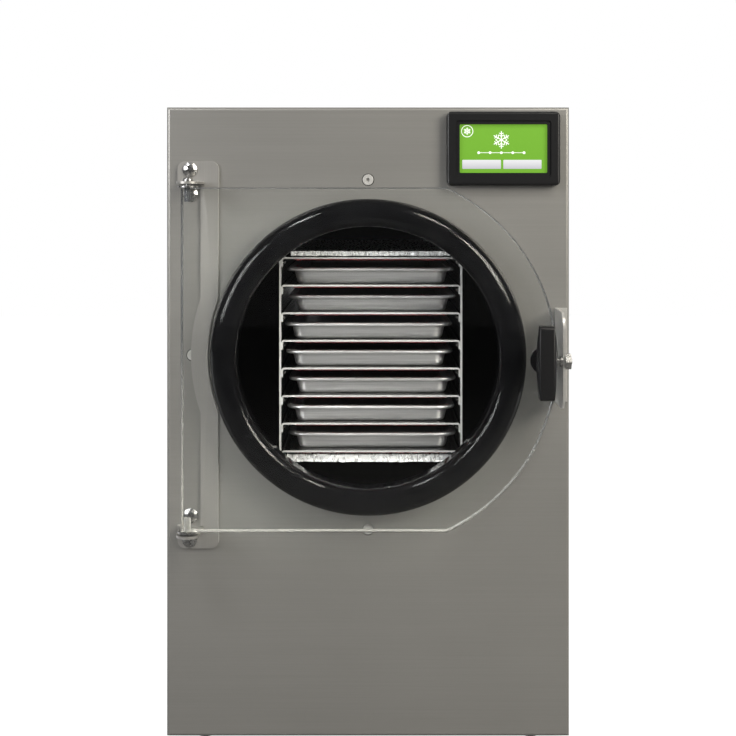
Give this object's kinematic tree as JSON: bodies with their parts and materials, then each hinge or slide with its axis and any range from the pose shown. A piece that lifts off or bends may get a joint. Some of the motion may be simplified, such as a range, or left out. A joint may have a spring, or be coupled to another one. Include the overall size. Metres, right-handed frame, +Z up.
{
  "type": "freeze dryer",
  "caption": "Countertop food freeze dryer: square steel cabinet, round vacuum chamber with a tray rack, thick clear hinged door with a cam latch, touch display and rear fittings.",
  "frame": {"origin": "centre of the bounding box at the floor, under the feet", "axes": "+Z up, -Y towards the door and the user, +X to the user's right"},
  "size_m": [0.508, 0.716, 0.806],
  "materials": {
    "sheet_steel": "stainless steel sheet with fine horizontal brushing",
    "bright_steel": "polished stainless fasteners and fittings",
    "drum_black": "gloss black coating",
    "rack_alloy": "mill-finish sheet aluminium",
    "tray_steel": "satin drawn stainless",
    "seal_rubber": "glossy black moulded rubber",
    "foot_rubber": "matt black rubber",
    "door_acrylic": "clear cast acrylic with polished faces",
    "handle_plastic": "satin black nylon",
    "bezel_plastic": "satin black plastic",
    "screen_glass": "glossy touch screen, lit green",
    "foil": "crinkled foil over insulation",
    "heater_red": "silicone rubber heater mat, dark red",
    "copper_tube": "annealed copper tube",
    "foam": "rigid foam",
    "compressor_black": "black enamel",
    "fin_alloy": "thin aluminium fins",
    "motor_black": "black paint",
    "fan_plastic": "black moulded plastic",
    "board_green": "solder-masked circuit board",
    "valve_brass": "machined brass",
    "lever_red": "red vinyl-dipped steel",
    "socket_plastic": "black plastic"
  },
  "bodies": {
    "cabinet": {"front_panel": "sheet_steel", "left_side_panel": "sheet_steel", "right_side_panel": "sheet_steel", "top_panel": "sheet_steel", "back_panel": "sheet_steel", "base_pan": "sheet_steel", "feet": "foot_rubber", "chamber_drum": "drum_black", "chamber_screws": "bright_steel", "door_gasket": "seal_rubber", "cooling_coil": "copper_tube", "chamber_insulation": "foam", "chamber_saddle": "sheet_steel", "rack_left_side": "rack_alloy", "rack_right_side": "rack_alloy", "shelf_1": "rack_alloy", "shelf_2": "rack_alloy", "shelf_3": "rack_alloy", "shelf_4": "rack_alloy", "shelf_5": "rack_alloy", "shelf_6": "rack_alloy", "shelf_7": "rack_alloy", "shelf_8": "rack_alloy", "heater_mats": "heater_red", "shelf_screws": "bright_steel", "tray_1": "tray_steel", "tray_2": "tray_steel", "tray_3": "tray_steel", "tray_4": "tray_steel", "tray_5": "tray_steel", "tray_6": "tray_steel", "tray_7": "tray_steel", "top_foil": "foil", "bottom_foil": "foil", "hinge_plate": "sheet_steel", "pan_screws": "bright_steel", "hinge_pins": "bright_steel", "hinge_washers": "bright_steel", "latch_bracket": "sheet_steel", "latch_bolt": "bright_steel", "display_bezel": "bezel_plastic", "display_screen": "screen_glass", "compressor": "compressor_black", "compressor_mounts": "foot_rubber", "condenser": "fin_alloy", "fan_shroud": "sheet_steel", "fan_motor": "motor_black", "refrigerant_lines": "copper_tube", "control_board": "board_green", "vacuum_port": "bright_steel", "drain_pipe": "bright_steel", "drain_valve": "valve_brass", "power_sockets": "socket_plastic", "switch_frame": "socket_plastic"},
    "door": {"door_panel": "door_acrylic"},
    "handle": {"door_handle": "handle_plastic", "handle_spindle": "bright_steel"},
    "fan": {"fan_blade": "fan_plastic"},
    "rocker": {"switch_rocker": "socket_plastic"},
    "drain": {"drain_lever": "lever_red"}
  },
  "joints": [
    {"name": "door_hinge", "type": "hinge", "parent": "cabinet", "child": "door", "pos_m": [-0.2206, -0.30675, 0.494], "axis": [0, 0, -1], "range_deg": [0, 170]},
    {"name": "handle_turn", "type": "hinge", "parent": "door", "child": "handle", "pos_m": [0.2135, -0.32895, 0.494], "axis": [0, 1, 0], "range_deg": [0, 90]},
    {"name": "fan_spin", "type": "hinge", "parent": "cabinet", "child": "fan", "pos_m": [0.11, 0.25, 0.113], "axis": [0, 1, 0], "continuous": true},
    {"name": "power_switch", "type": "hinge", "parent": "cabinet", "child": "rocker", "pos_m": [-0.19, 0.31155, 0.197], "axis": [-1, 0, 0], "range_deg": [0, 18]},
    {"name": "drain_lever_turn", "type": "hinge", "parent": "cabinet", "child": "drain", "pos_m": [0, 0.33205, 0.2608], "axis": [0, 0, 1], "range_deg": [0, 90]}
  ]
}
